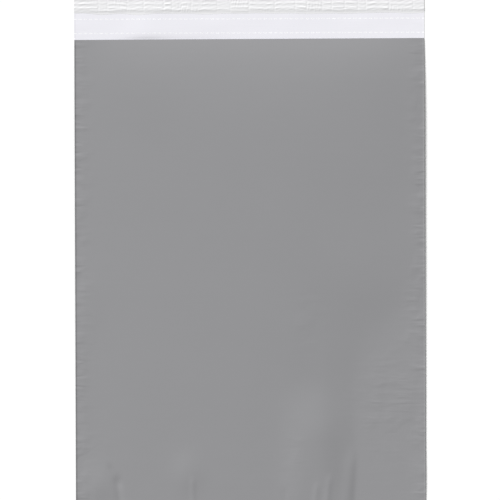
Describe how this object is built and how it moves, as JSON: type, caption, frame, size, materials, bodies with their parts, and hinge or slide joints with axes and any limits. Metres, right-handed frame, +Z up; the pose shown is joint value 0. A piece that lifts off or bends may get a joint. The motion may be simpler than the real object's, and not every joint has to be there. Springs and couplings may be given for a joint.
{
  "type": "poly mailer bag",
  "caption": "Flat polythene mailer: folded and side-welded pocket, open flap with a perforated tear strip, and adhesive under a puckered peel-off liner.",
  "frame": {"origin": "on the ground under the middle of the bag with its flap open flat", "axes": "+X across the bag, +Y from the bottom fold to the flap's cut end, +Z up out of the front panel"},
  "size_m": [0.2286, 0.3429, 0.0053],
  "materials": {
    "film": "satin co-extruded polythene film, grey outside and white inside",
    "adhesive": "clear, slightly yellow hot-melt adhesive",
    "liner": "thin milky release film, finely puckered"
  },
  "bodies": {
    "root": {"mailer_film": "film", "adhesive_strip": "adhesive", "release_liner": "liner"}
  },
  "joints": []
}
